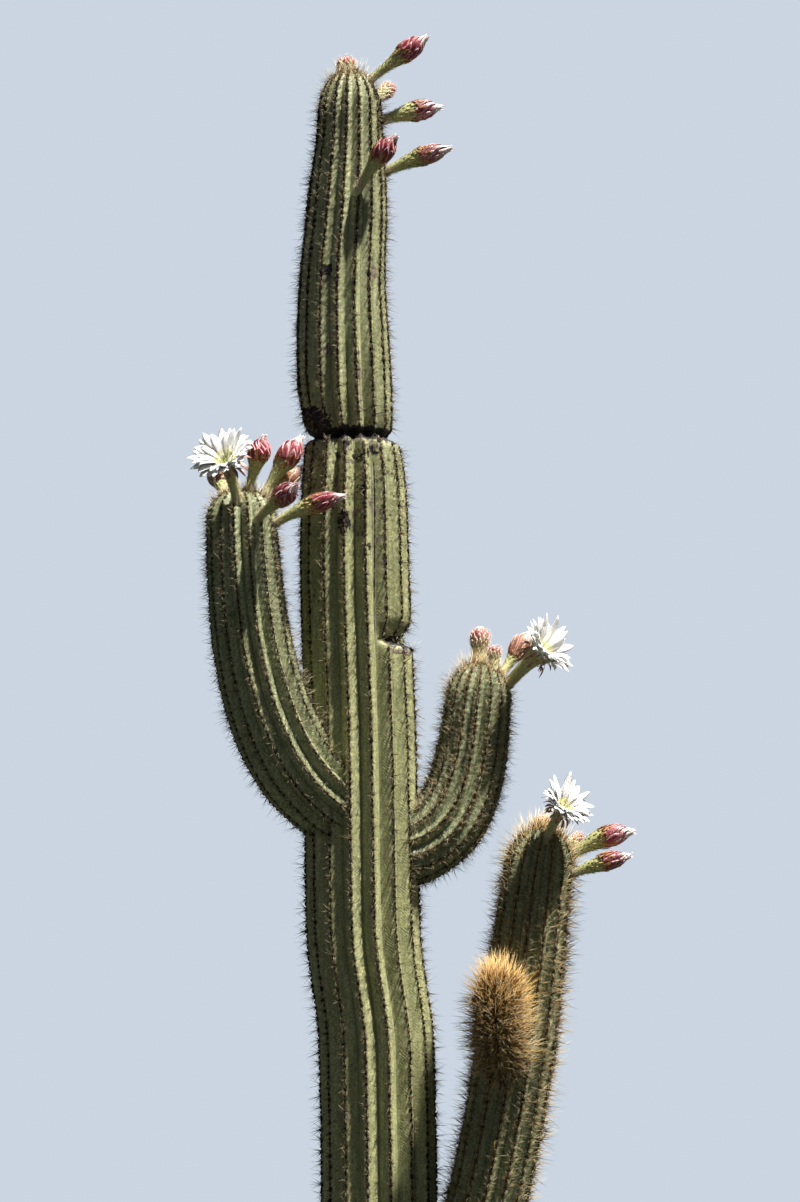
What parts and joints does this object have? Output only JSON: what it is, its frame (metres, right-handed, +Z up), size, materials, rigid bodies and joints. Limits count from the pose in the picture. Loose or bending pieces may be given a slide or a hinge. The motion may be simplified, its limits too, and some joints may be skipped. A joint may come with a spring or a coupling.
{
  "type": "cardon cactus",
  "caption": "Tall ribbed columnar cactus with a pinched waist, upcurved arms, a young shoot, and white funnel flowers and red buds round the tips; it stands rooted on a flat foot.",
  "frame": {"origin": "centre of the flat cut under the trunk, at ground level", "axes": "+Z up along the trunk, +X to the right of the front view, +Y away from the viewer"},
  "size_m": [1.076, 0.5678, 3.9468],
  "materials": {
    "stem_skin": "waxy green skin over ribs, with a dull sheen",
    "young_skin": "young green skin under golden spines",
    "bud": "scaly green tube with hairs and a crimson head",
    "petal": "white waxy petals"
  },
  "bodies": {
    "root": {"trunk": "stem_skin", "left_arm_elbow": "stem_skin", "left_arm_upright": "stem_skin", "right_arm_elbow": "stem_skin", "right_arm_upright": "stem_skin", "low_arm_elbow": "stem_skin", "low_arm_upright": "stem_skin", "young_shoot": "young_skin", "trunk_crown_bud": "bud", "trunk_bud_top": "bud", "trunk_bud_short": "bud", "trunk_bud_curved": "bud", "trunk_bud_front": "bud", "trunk_bud_right": "bud", "left_flower": "petal", "left_bud_outer": "bud", "left_bud_middle": "bud", "left_bud_tall": "bud", "left_bud_back": "bud", "left_bud_front": "bud", "left_bud_right": "bud", "right_bud_young": "bud", "right_bud_small": "bud", "right_bud_open": "bud", "right_flower": "petal", "low_flower": "petal", "low_bud_young": "bud", "low_bud_upper": "bud", "low_bud_lower": "bud", "low_bud_small": "bud"}
  },
  "joints": []
}
